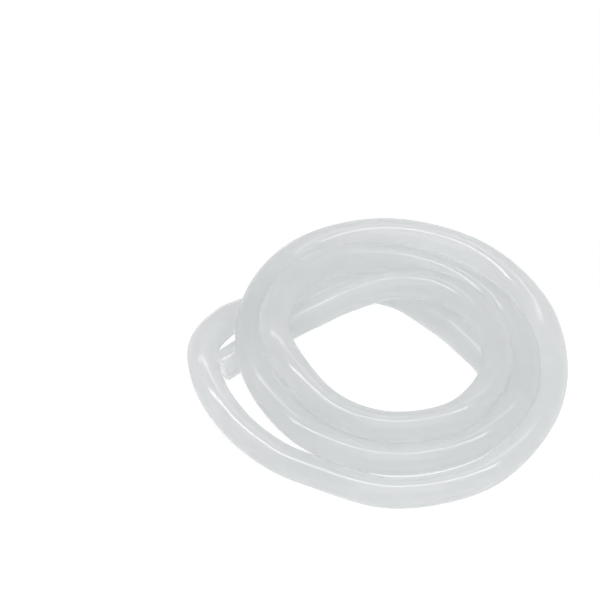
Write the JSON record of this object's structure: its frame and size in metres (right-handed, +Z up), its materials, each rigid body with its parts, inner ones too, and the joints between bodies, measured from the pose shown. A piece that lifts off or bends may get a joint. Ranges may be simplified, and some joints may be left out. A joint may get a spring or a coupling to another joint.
{
  "type": "silicone tubing coil",
  "caption": "Length of milky translucent silicone tubing, open at both cut ends, lying in a loose hand-wound coil.",
  "frame": {"origin": "on the table under the middle of the coil's box", "axes": "+Z up from the table, +X to the right and +Y to the back of the coil as it is seen from the front, with the wide outer loop at -X"},
  "size_m": [0.1105, 0.1086, 0.0262],
  "materials": {
    "silicone": "smooth, glossy, milky translucent"
  },
  "bodies": {
    "root": {"tubing": "silicone"}
  },
  "joints": []
}
